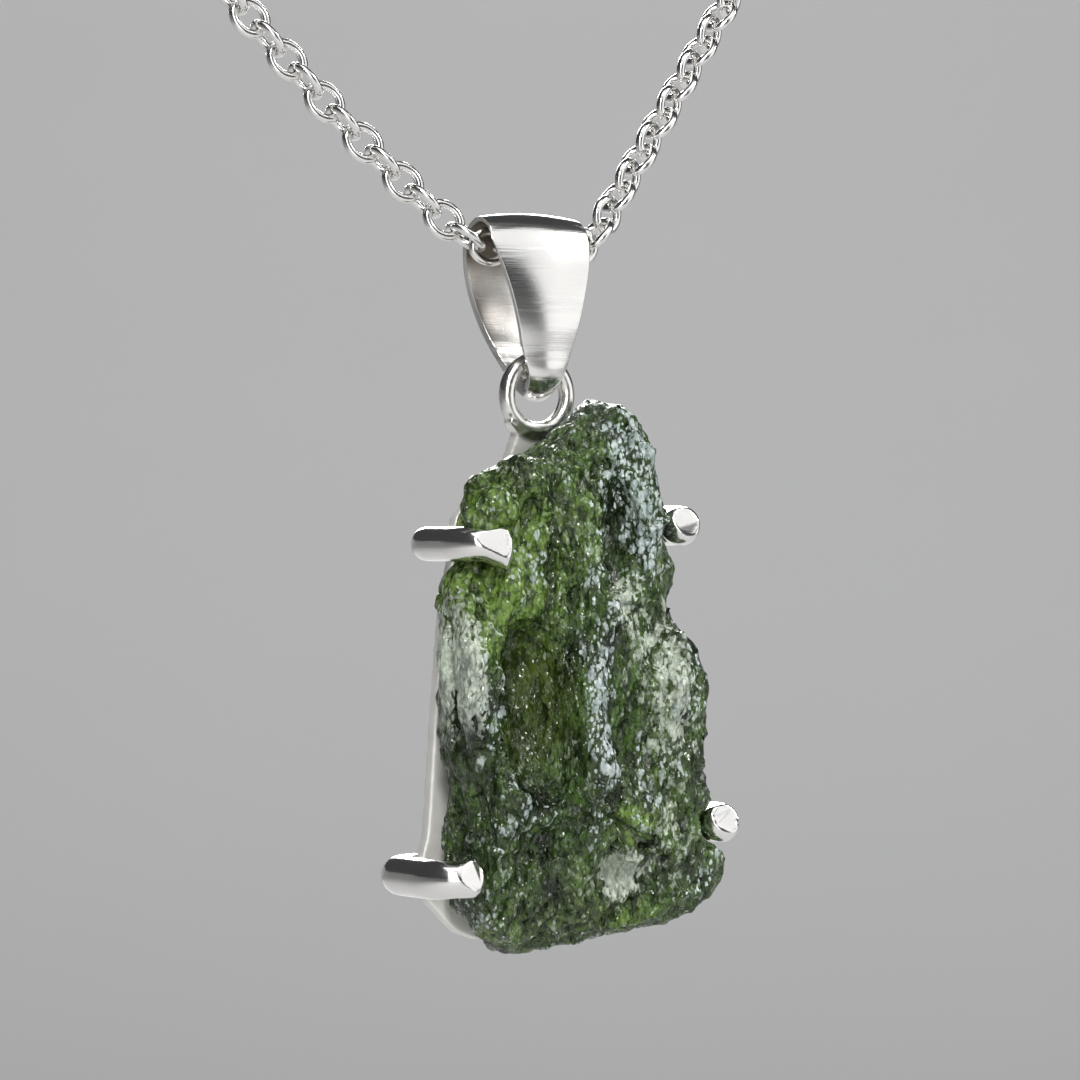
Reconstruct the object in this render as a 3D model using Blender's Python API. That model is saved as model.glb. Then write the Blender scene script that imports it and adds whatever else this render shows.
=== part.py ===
# A raw moldavite held by four silver claws, hanging from a bail on a silver chain.
# The origin is the middle of the chain inside the bail. X runs to the viewer's right,
# Y to the back and Z up. Dimensions are written in millimetres and placed in metres.

import math

import bmesh
import bpy
from mathutils import Matrix, Vector, noise

MM = 0.001

# swing axis of the pendant: the centre of the hanging ring's wire inside the bail;
# the pendant hangs a little to the left and in front of the chain's middle
SWING_HEIGHT = -5.55
PENDANT_ACROSS = -0.50
PENDANT_FORWARD = -0.80
RING_RADIUS = 1.75
RING_WIRE = 0.42
RING_SEGMENTS = 20
RING_SIDES = 8

# the stone, by level: depth below the swing axis, left edge, right edge, front depth
STONE_LEVELS = (
    (2.2, 1.9, 2.9, 2.6),
    (3.0, 0.8, 3.9, 4.0),
    (4.6, -1.6, 4.6, 4.9),
    (6.0, -4.0, 4.7, 5.3),
    (7.5, -5.4, 4.8, 5.4),
    (9.1, -5.8, 5.5, 5.3),
    (10.2, -6.1, 5.9, 5.4),
    (11.3, -6.3, 5.7, 5.5),
    (12.4, -6.5, 5.4, 5.6),
    (13.6, -6.7, 6.4, 5.8),
    (16.0, -6.7, 7.4, 6.0),
    (18.0, -6.7, 7.2, 5.9),
    (20.0, -6.6, 7.1, 5.8),
    (21.8, -6.5, 8.0, 5.7),
    (23.2, -6.4, 8.2, 5.7),
    (24.6, -6.4, 8.9, 5.6),
    (26.4, -6.2, 8.6, 5.3),
    (27.6, -5.3, 6.6, 4.8),
    (28.5, -4.4, 3.0, 4.0),
    (29.1, -3.4, -1.4, 2.8),
)
STONE_RINGS = 31
STONE_SIDES = 46
STONE_BACK = 0.10
# the back swells into the frame's window, from this far inside the window's edge
BACK_SWELL = 0.45
SWELL_INSET = 0.7
SWELL_RAMP = 1.5
# near its top the back stays this far in front of the hanging ring and the neck
RING_CLEAR_DEPTH = 5.4
RING_CLEAR_FRONT = 0.75
RING_CLEAR_RAMP = 0.9
STONE_SQUARENESS = 2.7

# hollows, ridges and ledges of the front: across, below the axis, half width, half height, rise
STONE_FORMS = (
    (-3.4, 17.0, 2.3, 3.7, -1.9),
    (-5.9, 16.4, 0.8, 3.4, 0.5),
    (0.2, 12.5, 0.9, 3.4, 0.7),
    (-0.3, 19.5, 1.0, 4.6, 0.9),
    (2.1, 25.1, 2.1, 1.2, -1.1),
    (1.9, 22.4, 2.0, 0.6, 0.5),
    (5.6, 16.6, 1.2, 1.6, 0.6),
    (3.6, 19.8, 1.3, 2.6, -0.8),
    (3.3, 13.0, 1.0, 2.2, -0.7),
    (2.4, 6.6, 1.5, 2.4, 0.4),
    (-2.6, 10.6, 1.6, 1.5, -0.5),
    (-4.2, 22.6, 1.3, 1.4, 0.4),
    (-1.9, 26.0, 1.5, 1.6, 0.5),
    (5.2, 25.9, 1.6, 0.5, -0.6),
)
# a form fades out at this many times its half width and half height
FORM_SPREAD = 1.5
# ridges drawn out along the stone, as rise and cells per millimetre, with etched pits between
FLOW_RISE = 0.55
FLOW_ACROSS = 0.62
FLOW_ALONG = 0.20
FLOW_LEVEL = 0.55
PIT_RISE = 0.32
PIT_SIZE = 0.42
PIT_SHIFT = (7.0, 3.0, 5.0)
# the relief fades where the stone is narrower than this half width
FULL_RELIEF_WIDTH = 3.0
FRONT_SHARE = 1.4
# the top and bottom end in a low point
END_LIFT = 0.35

# the silver back frame, as an outline of its outer edge: across, below the axis
FRAME_OUTLINE = (
    (0.0, 4.7),
    (-1.9, 5.4),
    (-3.8, 6.9),
    (-4.8, 8.3),
    (-4.8, 9.9),
    (-5.2, 11.6),
    (-5.5, 14.2),
    (-5.9, 19.3),
    (-6.2, 23.4),
    (-6.5, 24.4),
    (-6.5, 26.1),
    (-5.6, 27.3),
    (-3.9, 28.6),
    (-0.8, 28.5),
    (2.6, 27.7),
    (5.4, 26.9),
    (6.8, 25.6),
    (6.75, 23.9),
    (6.75, 21.9),
    (6.1, 19.6),
    (6.1, 16.6),
    (5.3, 13.6),
    (4.1, 11.4),
    (3.8, 9.0),
    (3.8, 7.4),
    (3.2, 5.8),
    (1.8, 4.9),
)
FRAME_WIDTH = 1.9
FRAME_FRONT = 0.15
FRAME_THICKNESS = 0.70
FRAME_CORNERS = 56
# straight parts between two of the outline's points when it is walked in even steps
LOOP_PARTS = 8

# the neck that carries the hanging ring, by level: depth below the axis, width, front, back
NECK_LEVELS = (
    (3.0, 2.2, -0.30, 0.34),
    (4.1, 2.7, -0.20, 0.70),
    (4.8, 3.0, 0.16, 0.83),
    (5.7, 3.4, 0.16, 0.83),
)

# claws: name, height below the axis, side, root, flank, tip depth, wire radius, root bend,
# turn of the tip over the stone, straight run beyond that turn
CLAWS = (
    ("prong_upper_left", 9.15, -1, 4.87, 6.65, 4.75, 0.86, 1.5, 64.0, 0.85),
    ("prong_upper_right", 8.25, 1, 3.87, 6.10, 4.75, 1.00, 1.5, 48.0, 0.0),
    ("prong_lower_left", 25.3, -1, 6.60, 8.15, 4.65, 0.98, 1.4, 64.0, 0.70),
    ("prong_lower_right", 23.05, 1, 6.84, 8.20, 5.10, 1.00, 1.3, 44.0, 0.0),
)
CLAW_SIDES = 8
CLAW_STEPS = 3
CLAW_TIP_BEND = 1.45
# the rounded tip: reach beyond the last station and width there, both as shares of the radius
CLAW_TIP_ROUNDING = ((0.34, 0.90), (0.60, 0.60))
CLAW_ROOT_SHARE = 0.94
CLAW_TIP_REACH = 0.5
CLAW_CLEARANCE = 0.14
# the stone is drawn clear of a claw in steps of this share of the way to its middle
CLAW_PULL = 0.02
CLAW_PULLS = 40
SOLDER_GAP = 0.03

# the bail, by level: height, middle of its depth behind the swing axis, half depth inside,
# width, wall at the edge
BAIL_LEVELS = (
    (1.34, 0.98, 0.00, 5.60, 0.28),
    (1.10, 0.98, 0.78, 5.65, 0.29),
    (0.10, 1.00, 1.29, 5.55, 0.32),
    (-1.00, 1.00, 1.62, 5.05, 0.35),
    (-2.00, 0.98, 1.78, 4.45, 0.36),
    (-3.75, 0.73, 1.58, 3.54, 0.38),
    (-5.00, 0.47, 1.14, 2.90, 0.38),
    (-5.70, 0.27, 0.92, 2.40, 0.36),
    (-6.12, 0.15, 0.66, 1.90, 0.62),
    (-6.40, 0.08, 0.00, 1.50, 1.00),
)
BAIL_STEPS = 26
BAIL_CROWN = 0.26
BAIL_INNER_INSET = 0.30

# the chain: oval links of round wire, each turned a quarter against the next
LINK_LENGTH = 2.28
LINK_WIDTH = 1.96
LINK_WIRE = 0.215
LINK_PITCH = 1.38
LINK_GAP = 0.04
LINK_SEGMENTS = 12
LINK_SIDES = 6
LINKS_PER_ARM = 16
ARM_BACK_ANGLE = 22.4
# climb of each link in degrees, from the link beside the middle one outwards
LEFT_CLIMB = (0.0, 6.0, 33.0, 41.0, 42.0, 43.0, 44.0, 45.0, 46.0, 47.0, 48.0)
RIGHT_CLIMB = (0.0, 20.0, 44.0, 47.0)
STEEP_CLIMB = 40.0
# the right arm is turned about its own line, over its first links
RIGHT_TWIST = 20.0
TWIST_LINKS = 5
END_RING_RADIUS = 1.75
END_RING_WIRE = 0.30
END_RING_SEGMENTS = 14

COLOURS = {
    "moldavite_green": ((0.13, 0.24, 0.05, 1.0), 0.25, 0.0),
    "polished_silver": ((0.86, 0.85, 0.83, 1.0), 0.16, 1.0),
    "satin_silver": ((0.78, 0.77, 0.74, 1.0), 0.38, 1.0),
}


def clear_scene():
    """Start from an empty scene."""
    for item in list(bpy.data.objects):
        bpy.data.objects.remove(item, do_unlink=True)


def finish_material(name):
    """One plain material per finish."""
    material = bpy.data.materials.get(name)
    if material is None:
        material = bpy.data.materials.new(name)
        material.use_nodes = True
        colour, roughness, metallic = COLOURS[name]
        shader = material.node_tree.nodes["Principled BSDF"]
        shader.inputs["Base Color"].default_value = colour
        shader.inputs["Roughness"].default_value = roughness
        shader.inputs["Metallic"].default_value = metallic
    return material


def smooth_value(rows, column, key):
    """Smooth curve through one column of a table whose first column rises."""
    keys = [row[0] for row in rows]
    values = [row[column] for row in rows]
    key = min(max(key, keys[0]), keys[-1])
    spot = 0
    while spot < len(keys) - 2 and key > keys[spot + 1]:
        spot += 1
    span = keys[spot + 1] - keys[spot]
    share = (key - keys[spot]) / span
    before = max(spot - 1, 0)
    after = min(spot + 2, len(keys) - 1)
    slope_in = (values[spot + 1] - values[before]) / (keys[spot + 1] - keys[before]) * span
    slope_out = (values[after] - values[spot]) / (keys[after] - keys[spot]) * span
    square = share * share
    cube = square * share
    return ((2 * cube - 3 * square + 1) * values[spot] + (cube - 2 * square + share) * slope_in
            + (3 * square - 2 * cube) * values[spot + 1] + (cube - square) * slope_out)


def smooth_loop(points, steps):
    """Even steps along a closed smooth curve through the given points."""
    count = len(points)
    dense = []
    for spot in range(count):
        before, start, end, after = (Vector(points[(spot + move) % count]) for move in (-1, 0, 1, 2))
        for part in range(LOOP_PARTS):
            share = part / LOOP_PARTS
            bend = 2 * before - 5 * start + 4 * end - after
            twist = 3 * start - before - 3 * end + after
            dense.append(0.5 * (2 * start + (end - before) * share + bend * share ** 2 + twist * share ** 3))
    lengths = [(dense[(i + 1) % len(dense)] - dense[i]).length for i in range(len(dense))]
    total = sum(lengths)
    result = []
    walked = 0.0
    spot = 0
    for step in range(steps):
        goal = total * step / steps
        while walked + lengths[spot] < goal:
            walked += lengths[spot]
            spot += 1
        share = (goal - walked) / lengths[spot]
        result.append(dense[spot].lerp(dense[(spot + 1) % len(dense)], share))
    return result


def add_grid(mesh, rows, closed_rows):
    """Faces between neighbouring rows of vertices; every row is a closed loop."""
    last = len(rows) if closed_rows else len(rows) - 1
    for row in range(last):
        lower = rows[row]
        upper = rows[(row + 1) % len(rows)]
        for side in range(len(lower)):
            beside = (side + 1) % len(lower)
            mesh.faces.new((lower[side], lower[beside], upper[beside], upper[side]))


def close_row(mesh, row, tip):
    """Fan from one row of vertices to a single tip."""
    for side in range(len(row)):
        mesh.faces.new((row[side], row[(side + 1) % len(row)], tip))


def make_object(name, mesh, finish, smooth_angle):
    """An object from a mesh drawn in millimetres."""
    bmesh.ops.recalc_face_normals(mesh, faces=mesh.faces)
    bmesh.ops.scale(mesh, vec=(MM, MM, MM), verts=mesh.verts)
    data = bpy.data.meshes.new(name)
    mesh.to_mesh(data)
    mesh.free()
    data.shade_smooth()
    data.set_sharp_from_angle(angle=math.radians(smooth_angle))
    data.materials.append(finish_material(finish))
    piece = bpy.data.objects.new(name, data)
    bpy.context.collection.objects.link(piece)
    return piece


def make_pivot(name, place):
    """An empty on a swing axis, which carries the pieces that swing together."""
    pivot = bpy.data.objects.new(name, None)
    pivot.location = Vector(place) * MM
    bpy.context.collection.objects.link(pivot)
    return pivot


def tube_rows(mesh, path, radii, sides, closed):
    """Rows of a round tube along a path that lies in one plane."""
    rows = []
    count = len(path)
    binormal = plane_normal(path)
    for spot in range(count):
        if closed:
            along = path[(spot + 1) % count] - path[spot - 1]
        else:
            along = path[min(spot + 1, count - 1)] - path[max(spot - 1, 0)]
        across = binormal.cross(along.normalized())
        row = []
        for side in range(sides):
            angle = 2 * math.pi * (side + 0.5) / sides
            reach = across * math.cos(angle) + binormal * math.sin(angle)
            row.append(mesh.verts.new(path[spot] + reach * radii[spot]))
        rows.append(row)
    return rows


def plane_normal(path):
    """Direction square to a path that lies in one plane."""
    first = path[len(path) // 3] - path[0]
    second = path[2 * len(path) // 3] - path[0]
    return first.cross(second).normalized()


def add_torus(mesh, centre, across, up, half_width, half_length, wire, segments, sides):
    """A closed oval ring of round wire in the plane of two directions."""
    path = []
    for step in range(segments):
        angle = 2 * math.pi * (step + 0.5) / segments
        sideways = across * (half_width * math.cos(angle))
        path.append(centre + sideways + up * (half_length * math.sin(angle)))
    rows = tube_rows(mesh, path, [wire] * segments, sides, True)
    add_grid(mesh, rows, True)


def claw_path(side, root, flank, tip_depth, bend, tip_turn, tip_run):
    """Centre line of a claw seen from above: out, forward along the flank, then over the stone."""
    start_y = FRAME_FRONT + FRAME_THICKNESS / 2
    points = [Vector((side * (root + SOLDER_GAP), start_y, 0.0))]
    for step in range(CLAW_STEPS + 1):
        turn = math.radians(90.0 * step / CLAW_STEPS)
        across = flank - bend + bend * math.sin(turn)
        points.append(Vector((side * across, start_y - bend + bend * math.cos(turn), 0.0)))
    for step in range(CLAW_STEPS + 1):
        turn = math.radians(tip_turn * step / CLAW_STEPS)
        across = flank - CLAW_TIP_BEND + CLAW_TIP_BEND * math.cos(turn)
        forward = CLAW_TIP_BEND - tip_depth - CLAW_TIP_BEND * math.sin(turn)
        points.append(Vector((side * across, forward, 0.0)))
    if tip_run > 0.0:
        points.append(points[-1] + claw_heading(side, tip_turn) * tip_run)
    return points


def claw_heading(side, tip_turn):
    """Direction in which the claw's tip points."""
    turn = math.radians(tip_turn)
    return Vector((-side * math.sin(turn), -math.cos(turn), 0.0))


def claw_line(claw):
    """Centre line of one claw at its own height."""
    height = claw[1]
    return [Vector((spot.x, spot.y, -height)) for spot in claw_path(claw[2], *claw[3:6], *claw[7:])]


def bump(value):
    """Falls smoothly from one at the middle to nothing at one."""
    return (1 - value * value) ** 2 if abs(value) < 1 else 0.0


def front_relief(x, depth):
    rise = 0.0
    for across, below, half_width, half_height, height in STONE_FORMS:
        far = math.hypot((x - across) / half_width, (depth - below) / half_height) / FORM_SPREAD
        rise += height * bump(far)
    return rise


def flow_relief(point):
    """Ridges drawn out along the stone, and pits that the soil has etched."""
    stretched = Vector((point.x * FLOW_ACROSS, point.y * FLOW_ACROSS, point.z * FLOW_ALONG))
    ridge = 1 - 2 * abs(noise.noise(stretched))
    pit = noise.noise(point * PIT_SIZE + Vector(PIT_SHIFT))
    return FLOW_RISE * (ridge - FLOW_LEVEL) + PIT_RISE * pit


def share_of(value, whole):
    """How much of a whole a value makes up, between nothing and one."""
    return min(max(value / whole, 0.0), 1.0)


def back_limit(x, depth, window):
    """The back rests on the frame and swells a little into its window."""
    spot = Vector((x, -depth))
    edge = min((spot - corner).length for corner in window)
    inside = edge if within(spot, window) else 0.0
    swell = BACK_SWELL * share_of(inside - SWELL_INSET, SWELL_RAMP)
    under_ring = share_of(RING_CLEAR_DEPTH - depth, RING_CLEAR_RAMP)
    return STONE_BACK + swell - RING_CLEAR_FRONT * under_ring


def within(spot, loop):
    """Whether a place lies inside a closed loop of corners."""
    hits = False
    for first, second in zip(loop, loop[1:] + loop[:1]):
        if (first.y > spot.y) != (second.y > spot.y):
            cross = first.x + (spot.y - first.y) / (second.y - first.y) * (second.x - first.x)
            if spot.x < cross:
                hits = not hits
    return hits


def clear_of_claws(point, centre):
    """Draws a point in towards the middle of its level until the claws are clear of it."""
    for claw in CLAWS:
        wire = claw[6]
        if abs(point.z + claw[1]) > wire + CLAW_CLEARANCE:
            continue
        stations = spread(claw_line(claw))
        for _ in range(CLAW_PULLS):
            near = min((point - spot).length for spot in stations)
            if near > wire + CLAW_CLEARANCE:
                break
            point = point.lerp(centre, CLAW_PULL)
    return point


def spread(path):
    """Closer stations along a claw, and one a little beyond its tip."""
    points = []
    for first, second in zip(path, path[1:]):
        for part in range(CLAW_STEPS):
            points.append(first.lerp(second, part / CLAW_STEPS))
    points.append(path[-1] + (path[-1] - path[-2]).normalized() * CLAW_TIP_REACH)
    return points


def stone_point(depth, angle, window):
    """One place on the stone's skin: a squarish oval at its level, with the relief and the claws."""
    left = smooth_value(STONE_LEVELS, 1, depth)
    right = smooth_value(STONE_LEVELS, 2, depth)
    front = smooth_value(STONE_LEVELS, 3, depth)
    half_width = (right - left) / 2
    half_depth = (front + STONE_BACK) / 2
    centre = Vector(((left + right) / 2, STONE_BACK - half_depth, -depth))
    power = 2 / STONE_SQUARENESS
    across = math.copysign(abs(math.cos(angle)) ** power, math.cos(angle))
    forward = math.copysign(abs(math.sin(angle)) ** power, math.sin(angle))
    point = centre + Vector((half_width * across, -half_depth * forward, 0.0))
    outward = Vector((across / half_width, -forward / half_depth, 0.0)).normalized()
    fade = share_of(half_width, FULL_RELIEF_WIDTH)
    rise = flow_relief(point) + front_relief(point.x, depth) * share_of(forward * FRONT_SHARE, 1.0)
    point += outward * (rise * fade)
    point = clear_of_claws(point, centre)
    point.y = min(point.y, back_limit(point.x, depth, window))
    return point


def make_stone(pivot):
    """The rough stone, a stack of levels closed by a low point at each end."""
    mesh = bmesh.new()
    window = frame_loops()[1]
    top = STONE_LEVELS[0][0]
    bottom = STONE_LEVELS[-1][0]
    rows = []
    for level in range(STONE_RINGS):
        depth = top + (bottom - top) * level / (STONE_RINGS - 1)
        row = []
        for side in range(STONE_SIDES):
            row.append(mesh.verts.new(stone_point(depth, 2 * math.pi * side / STONE_SIDES, window)))
        rows.append(row)
    add_grid(mesh, rows, False)
    for row, lift in ((rows[0], END_LIFT), (rows[-1], -END_LIFT)):
        middle = sum((vert.co for vert in row), Vector()) / len(row)
        close_row(mesh, row, mesh.verts.new(middle + Vector((0.0, 0.0, lift))))
    stone = make_object("moldavite_stone", mesh, "moldavite_green", 35.0)
    stone.parent = pivot
    return stone


def frame_loops():
    """The frame's outer edge and the edge of its window, as corners across and up."""
    outline = smooth_loop([(across, -below) for across, below in FRAME_OUTLINE], FRAME_CORNERS)
    window = []
    for spot in range(FRAME_CORNERS):
        along = (outline[(spot + 1) % FRAME_CORNERS] - outline[spot - 1]).normalized()
        window.append(outline[spot] + Vector((-along.y, along.x)) * FRAME_WIDTH)
    return outline, window


def frame_plate(name):
    """The flat frame with its open window, following the stone's outline."""
    outline, window = frame_loops()
    back = FRAME_FRONT + FRAME_THICKNESS
    mesh = bmesh.new()
    rows = []
    for loop, depth in ((outline, FRAME_FRONT), (outline, back), (window, back), (window, FRAME_FRONT)):
        rows.append([mesh.verts.new((spot.x, depth, spot.y)) for spot in loop])
    add_grid(mesh, rows, True)
    return make_object(name, mesh, "satin_silver", 40.0)


def neck_block(name):
    """A wedge from the ring's lower wire to the frame's top edge."""
    mesh = bmesh.new()
    rows = []
    for depth, width, front, rear in NECK_LEVELS:
        half = width / 2
        corners = ((-half, front), (half, front), (half, rear), (-half, rear))
        rows.append([mesh.verts.new((x, y, -depth)) for x, y in corners])
    add_grid(mesh, rows, False)
    mesh.faces.new(rows[0])
    mesh.faces.new(rows[-1])
    return make_object(name, mesh, "satin_silver", 40.0)


def hanging_ring(name):
    """The fixed ring of round wire above the neck."""
    mesh = bmesh.new()
    add_torus(mesh, Vector((0.0, 0.0, -RING_RADIUS)), Vector((1, 0, 0)), Vector((0, 0, 1)),
              RING_RADIUS, RING_RADIUS, RING_WIRE, RING_SEGMENTS, RING_SIDES)
    return make_object(name, mesh, "polished_silver", 40.0)


def join_solids(base, tools):
    """One closed body from a base and the forms that grow out of it."""
    for tool in tools:
        union = base.modifiers.new("join_" + tool.name, "BOOLEAN")
        union.operation = "UNION"
        union.solver = "EXACT"
        union.object = tool
        tool.hide_render = True
        tool.display_type = "WIRE"


def make_frame(pivot):
    """The back frame with its neck and hanging ring."""
    frame = frame_plate("setting_frame")
    tools = [neck_block("neck_form"), hanging_ring("ring_form")]
    join_solids(frame, tools)
    for piece in [frame] + tools:
        piece.parent = pivot
    return frame


def make_claw(pivot, claw):
    """One bent wire with a square root and a rounded tip."""
    name, wire = claw[0], claw[6]
    mesh = bmesh.new()
    path = claw_line(claw)
    tip = path[-1]
    heading = claw_heading(claw[2], claw[8])
    radii = [wire * CLAW_ROOT_SHARE] + [wire] * (len(path) - 1)
    for reach, share in CLAW_TIP_ROUNDING:
        path.append(tip + heading * (reach * wire))
        radii.append(wire * share)
    rows = tube_rows(mesh, path, radii, CLAW_SIDES, False)
    square_root_end(rows[0], claw[2] * (claw[3] + SOLDER_GAP))
    add_grid(mesh, rows, False)
    mesh.faces.new(rows[0])
    mesh.faces.new(rows[-1])
    piece = make_object(name, mesh, "polished_silver", 40.0)
    piece.parent = pivot
    return piece


def square_root_end(row, edge):
    """The root is cut square, so that it meets the frame's edge flat."""
    for vert in row:
        vert.co.x = edge


def bail_point(turn):
    """Middle of the strip's inner face at one turn of the loop, with the strip's width and wall."""
    rows = [(-row[0],) + row[1:] for row in BAIL_LEVELS]
    top, bottom = rows[0][0], rows[-1][0]
    level = top + (bottom - top) * (1 - math.cos(turn)) / 2
    half_depth = smooth_value(rows, 2, level) if abs(math.sin(turn)) > 1e-6 else 0.0
    depth = PENDANT_FORWARD + smooth_value(rows, 1, level) + math.copysign(half_depth, math.sin(turn))
    place = Vector((PENDANT_ACROSS, depth, -level))
    return place, smooth_value(rows, 3, level), smooth_value(rows, 4, level)


def bail_row(inner, along, width, wall):
    """Corners of the strip's section: a crowned outer face and a flat inner one."""
    outward = Vector((0.0, along.z, -along.y))
    row = []
    for share in (-1.0, -0.55, 0.0, 0.55, 1.0):
        crown = BAIL_CROWN * (1 - share * share)
        row.append(inner + outward * (wall + crown) + Vector((width / 2 * share, 0.0, 0.0)))
    inside = width / 2 - BAIL_INNER_INSET
    for share in (1.0, 0.0, -1.0):
        row.append(inner + Vector((inside * share, 0.0, 0.0)))
    return row


def make_bail(pivot):
    """A tapered, crowned strip bent round into a loop, its leaves meeting at the foot."""
    stations = [bail_point(2 * math.pi * step / BAIL_STEPS) for step in range(BAIL_STEPS)]
    mesh = bmesh.new()
    rows = []
    for spot, (inner, width, wall) in enumerate(stations):
        ahead = stations[(spot + 1) % BAIL_STEPS][0]
        along = (stations[spot - 1][0] - ahead).normalized()
        rows.append([mesh.verts.new(place) for place in bail_row(inner, along, width, wall)])
    add_grid(mesh, rows, True)
    bail = make_object("bail", mesh, "polished_silver", 40.0)
    bail.parent = pivot
    return bail


def arm_direction(side, climb):
    """Direction of a link that climbs outwards, and leans back once it climbs steeply."""
    back = math.radians(ARM_BACK_ANGLE * share_of(climb, STEEP_CLIMB))
    rise = math.radians(climb)
    level = math.cos(rise)
    return Vector((side * level * math.cos(back), level * math.sin(back), math.sin(rise)))


def link_plane(along, twist):
    """Direction square to a link's plane, turned about the chain's line."""
    flat = Vector((0.0, 1.0, 0.0))
    flat = (flat - along * flat.dot(along)).normalized()
    return Matrix.Rotation(twist, 3, along) @ flat


def make_link(name, centre, along, twist):
    """One oval link of round wire."""
    across = along.cross(link_plane(along, twist))
    mesh = bmesh.new()
    half_length = LINK_LENGTH / 2 - LINK_WIRE
    half_width = LINK_WIDTH / 2 - LINK_WIRE
    add_torus(mesh, centre, across, along, half_width, half_length, LINK_WIRE, LINK_SEGMENTS, LINK_SIDES)
    return make_object(name, mesh, "polished_silver", 60.0)


def make_arm(side, climbs, total_twist, label):
    """The links of one arm, outwards from the middle link, and the ring at its end."""
    joint = Vector((side * LINK_PITCH / 2, 0.0, 0.0))
    for step in range(LINKS_PER_ARM):
        along = arm_direction(side, climbs[min(step, len(climbs) - 1)])
        quarter = math.pi / 2 if step % 2 == 0 else 0.0
        twist = quarter + math.radians(total_twist * share_of(step, TWIST_LINKS))
        make_link("chain_link_%s_%02d" % (label, step + 1), joint + along * (LINK_PITCH / 2), along, twist)
        joint += along * LINK_PITCH
    beyond_joint = (LINK_LENGTH - LINK_PITCH) / 2 - LINK_WIRE
    grip = LINK_WIRE + END_RING_WIRE + LINK_GAP - beyond_joint
    centre = joint + along * (END_RING_RADIUS - grip)
    flat = link_plane(along, math.pi / 2 + math.radians(total_twist))
    mesh = bmesh.new()
    add_torus(mesh, centre, along.cross(flat), along, END_RING_RADIUS, END_RING_RADIUS,
              END_RING_WIRE, END_RING_SEGMENTS, LINK_SIDES)
    make_object("chain_end_ring_" + label, mesh, "polished_silver", 60.0)


def make_chain():
    """The piece of chain that carries the pendant, one arm to each side."""
    make_link("chain_link_middle", Vector((0.0, 0.0, 0.0)), Vector((1.0, 0.0, 0.0)), 0.0)
    make_arm(-1, LEFT_CLIMB, 0.0, "left")
    make_arm(1, RIGHT_CLIMB, RIGHT_TWIST, "right")


def main():
    """The whole pendant on its chain."""
    clear_scene()
    bail_pivot = make_pivot("bail_pivot", (0.0, 0.0, 0.0))
    swing_place = (PENDANT_ACROSS, PENDANT_FORWARD, SWING_HEIGHT)
    swing_pivot = make_pivot("swing_pivot", swing_place)
    make_chain()
    make_bail(bail_pivot)
    make_stone(swing_pivot)
    make_frame(swing_pivot)
    for claw in CLAWS:
        make_claw(swing_pivot, claw)


main()
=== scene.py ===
import math

import bmesh
import bpy
import numpy as np
from mathutils import Matrix, Vector, noise


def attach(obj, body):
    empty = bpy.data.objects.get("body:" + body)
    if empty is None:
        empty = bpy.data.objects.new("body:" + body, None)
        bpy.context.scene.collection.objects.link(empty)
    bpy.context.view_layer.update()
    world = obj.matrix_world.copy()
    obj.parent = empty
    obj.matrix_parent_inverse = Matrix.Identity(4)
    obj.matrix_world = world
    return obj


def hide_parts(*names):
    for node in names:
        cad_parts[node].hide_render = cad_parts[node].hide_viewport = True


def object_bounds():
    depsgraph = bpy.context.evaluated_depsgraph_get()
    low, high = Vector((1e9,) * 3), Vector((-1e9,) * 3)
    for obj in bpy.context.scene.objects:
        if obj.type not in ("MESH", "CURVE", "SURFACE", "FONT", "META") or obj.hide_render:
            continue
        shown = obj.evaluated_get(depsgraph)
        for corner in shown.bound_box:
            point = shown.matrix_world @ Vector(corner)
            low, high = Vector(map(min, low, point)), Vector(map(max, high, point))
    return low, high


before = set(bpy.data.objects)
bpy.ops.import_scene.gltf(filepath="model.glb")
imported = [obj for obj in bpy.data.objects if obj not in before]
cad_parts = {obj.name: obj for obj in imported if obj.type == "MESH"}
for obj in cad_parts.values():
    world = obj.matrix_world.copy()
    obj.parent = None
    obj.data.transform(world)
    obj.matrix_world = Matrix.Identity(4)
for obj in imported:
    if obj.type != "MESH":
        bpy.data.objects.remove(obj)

CAD_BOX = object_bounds()
MM = 0.001

# the pendant's own middle and its swing axis, in millimetres
PENDANT_ACROSS = -0.50
PENDANT_FORWARD = -0.80
SWING_HEIGHT = -5.55

# stone: voxel for an even skin, and the sculpted relief laid on it
STONE_VOXEL = 0.23
STONE_SEED = 8
STONE_PIECES = ("moldavite_stone",)
RIM_RELIEF = 0.50

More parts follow.
